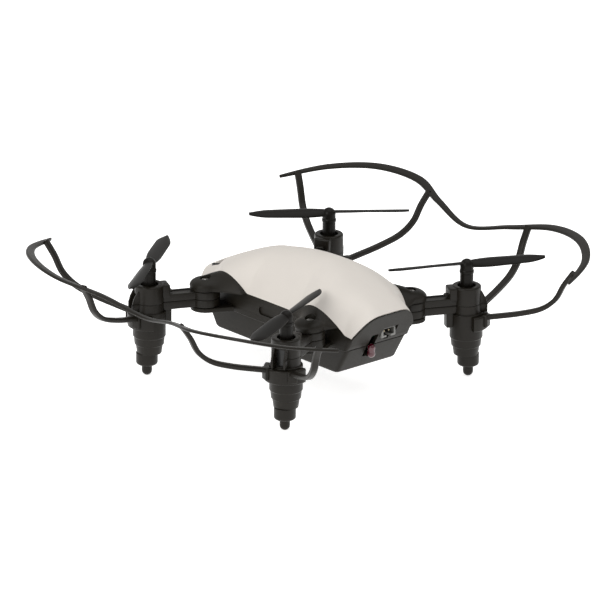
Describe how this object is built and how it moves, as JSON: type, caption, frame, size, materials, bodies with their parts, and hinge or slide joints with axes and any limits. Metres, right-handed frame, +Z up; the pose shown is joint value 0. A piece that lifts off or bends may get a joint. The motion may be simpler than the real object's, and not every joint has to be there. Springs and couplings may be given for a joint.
{
  "type": "mini palm drone",
  "caption": "Folding palm-size toy quadcopter with light canopy, dark body, hinged arms, spinning propellers and pull-off guards.",
  "frame": {"origin": "under the middle of the drone, at the height of the feet", "axes": "+X to the tail with the charging socket, +Y to the drone's right side, +Z up"},
  "size_m": [0.1244, 0.1372, 0.0379],
  "materials": {
    "canopy_shell": "matte",
    "charcoal_plastic": "satin",
    "dark_lens": "gloss",
    "led_body": "gloss",
    "screw_steel": "bright",
    "battery_foil": "satin",
    "foam": "matte",
    "wire_cover": "satin",
    "board_green": "satin",
    "chip_black": "matte",
    "socket_plastic": "satin",
    "pin_brass": "bright",
    "switch_steel": "satin",
    "knob_red": "gloss",
    "motor_steel": "satin",
    "propeller_plastic": "gloss"
  },
  "bodies": {
    "body": {"canopy": "canopy_shell", "upper_frame": "charcoal_plastic", "lower_shell": "charcoal_plastic", "headlight_lenses": "dark_lens", "headlight_leds": "led_body", "hinge_screws": "screw_steel", "battery": "battery_foil", "battery_pad": "foam", "battery_leads": "wire_cover", "circuit_board": "board_green", "board_chips": "chip_black", "board_screws": "screw_steel", "charging_socket": "socket_plastic", "socket_pins": "pin_brass", "switch_body": "switch_steel", "antenna_wire": "wire_cover"},
    "power_switch": {"switch_knob": "knob_red"},
    "guard_left_body": {"guard_left": "charcoal_plastic"},
    "guard_right_body": {"guard_right": "charcoal_plastic"},
    "arm_front_left": {"arm_top_front_left": "charcoal_plastic", "arm_bottom_front_left": "charcoal_plastic", "foot_front_left": "charcoal_plastic", "motor_front_left": "motor_steel", "motor_leads_front_left": "wire_cover"},
    "prop_front_left": {"propeller_front_left": "propeller_plastic", "motor_shaft_front_left": "motor_steel"},
    "arm_rear_left": {"arm_top_rear_left": "charcoal_plastic", "arm_bottom_rear_left": "charcoal_plastic", "foot_rear_left": "charcoal_plastic", "motor_rear_left": "motor_steel", "motor_leads_rear_left": "wire_cover"},
    "prop_rear_left": {"propeller_rear_left": "propeller_plastic", "motor_shaft_rear_left": "motor_steel"},
    "arm_rear_right": {"arm_top_rear_right": "charcoal_plastic", "arm_bottom_rear_right": "charcoal_plastic", "foot_rear_right": "charcoal_plastic", "motor_rear_right": "motor_steel", "motor_leads_rear_right": "wire_cover"},
    "prop_rear_right": {"propeller_rear_right": "propeller_plastic", "motor_shaft_rear_right": "motor_steel"},
    "arm_front_right": {"arm_top_front_right": "charcoal_plastic", "arm_bottom_front_right": "charcoal_plastic", "foot_front_right": "charcoal_plastic", "motor_front_right": "motor_steel", "motor_leads_front_right": "wire_cover"},
    "prop_front_right": {"propeller_front_right": "propeller_plastic", "motor_shaft_front_right": "motor_steel"}
  },
  "joints": [
    {"name": "switch_slide", "type": "slide", "parent": "body", "child": "power_switch", "axis": [0, 0, 1], "range_m": [0, 0.0029]},
    {"name": "guard_left_pull", "type": "slide", "parent": "body", "child": "guard_left_body", "axis": [0, -1, 0], "range_m": [0, 0.11]},
    {"name": "guard_right_pull", "type": "slide", "parent": "body", "child": "guard_right_body", "axis": [0, 1, 0], "range_m": [0, 0.11]},
    {"name": "arm_front_left_fold", "type": "hinge", "parent": "body", "child": "arm_front_left", "pos_m": [-0.0224, -0.01885, 0.0218], "axis": [0, 0, 1], "range_deg": [0, 88]},
    {"name": "prop_front_left_spin", "type": "hinge", "parent": "arm_front_left", "child": "prop_front_left", "pos_m": [-0.02933, -0.03371, 0.0333], "axis": [0, 0, 1], "continuous": true},
    {"name": "arm_rear_left_fold", "type": "hinge", "parent": "body", "child": "arm_rear_left", "pos_m": [0.0224, -0.01885, 0.0218], "axis": [0, 0, 1], "range_deg": [-88, 0]},
    {"name": "prop_rear_left_spin", "type": "hinge", "parent": "arm_rear_left", "child": "prop_rear_left", "pos_m": [0.02933, -0.03371, 0.0333], "axis": [0, 0, 1], "continuous": true},
    {"name": "arm_rear_right_fold", "type": "hinge", "parent": "body", "child": "arm_rear_right", "pos_m": [0.0224, 0.01885, 0.0218], "axis": [0, 0, 1], "range_deg": [0, 88]},
    {"name": "prop_rear_right_spin", "type": "hinge", "parent": "arm_rear_right", "child": "prop_rear_right", "pos_m": [0.02933, 0.03371, 0.0333], "axis": [0, 0, 1], "continuous": true},
    {"name": "arm_front_right_fold", "type": "hinge", "parent": "body", "child": "arm_front_right", "pos_m": [-0.0224, 0.01885, 0.0218], "axis": [0, 0, 1], "range_deg": [-88, 0]},
    {"name": "prop_front_right_spin", "type": "hinge", "parent": "arm_front_right", "child": "prop_front_right", "pos_m": [-0.02933, 0.03371, 0.0333], "axis": [0, 0, 1], "continuous": true}
  ],
  "couplings": [
    {"joint": "arm_front_left_fold", "follows": "guard_left_pull", "rad_per_m": 13.962},
    {"joint": "arm_rear_left_fold", "follows": "guard_left_pull", "rad_per_m": -13.962},
    {"joint": "arm_rear_right_fold", "follows": "guard_right_pull", "rad_per_m": 13.962},
    {"joint": "arm_front_right_fold", "follows": "guard_right_pull", "rad_per_m": -13.962}
  ]
}
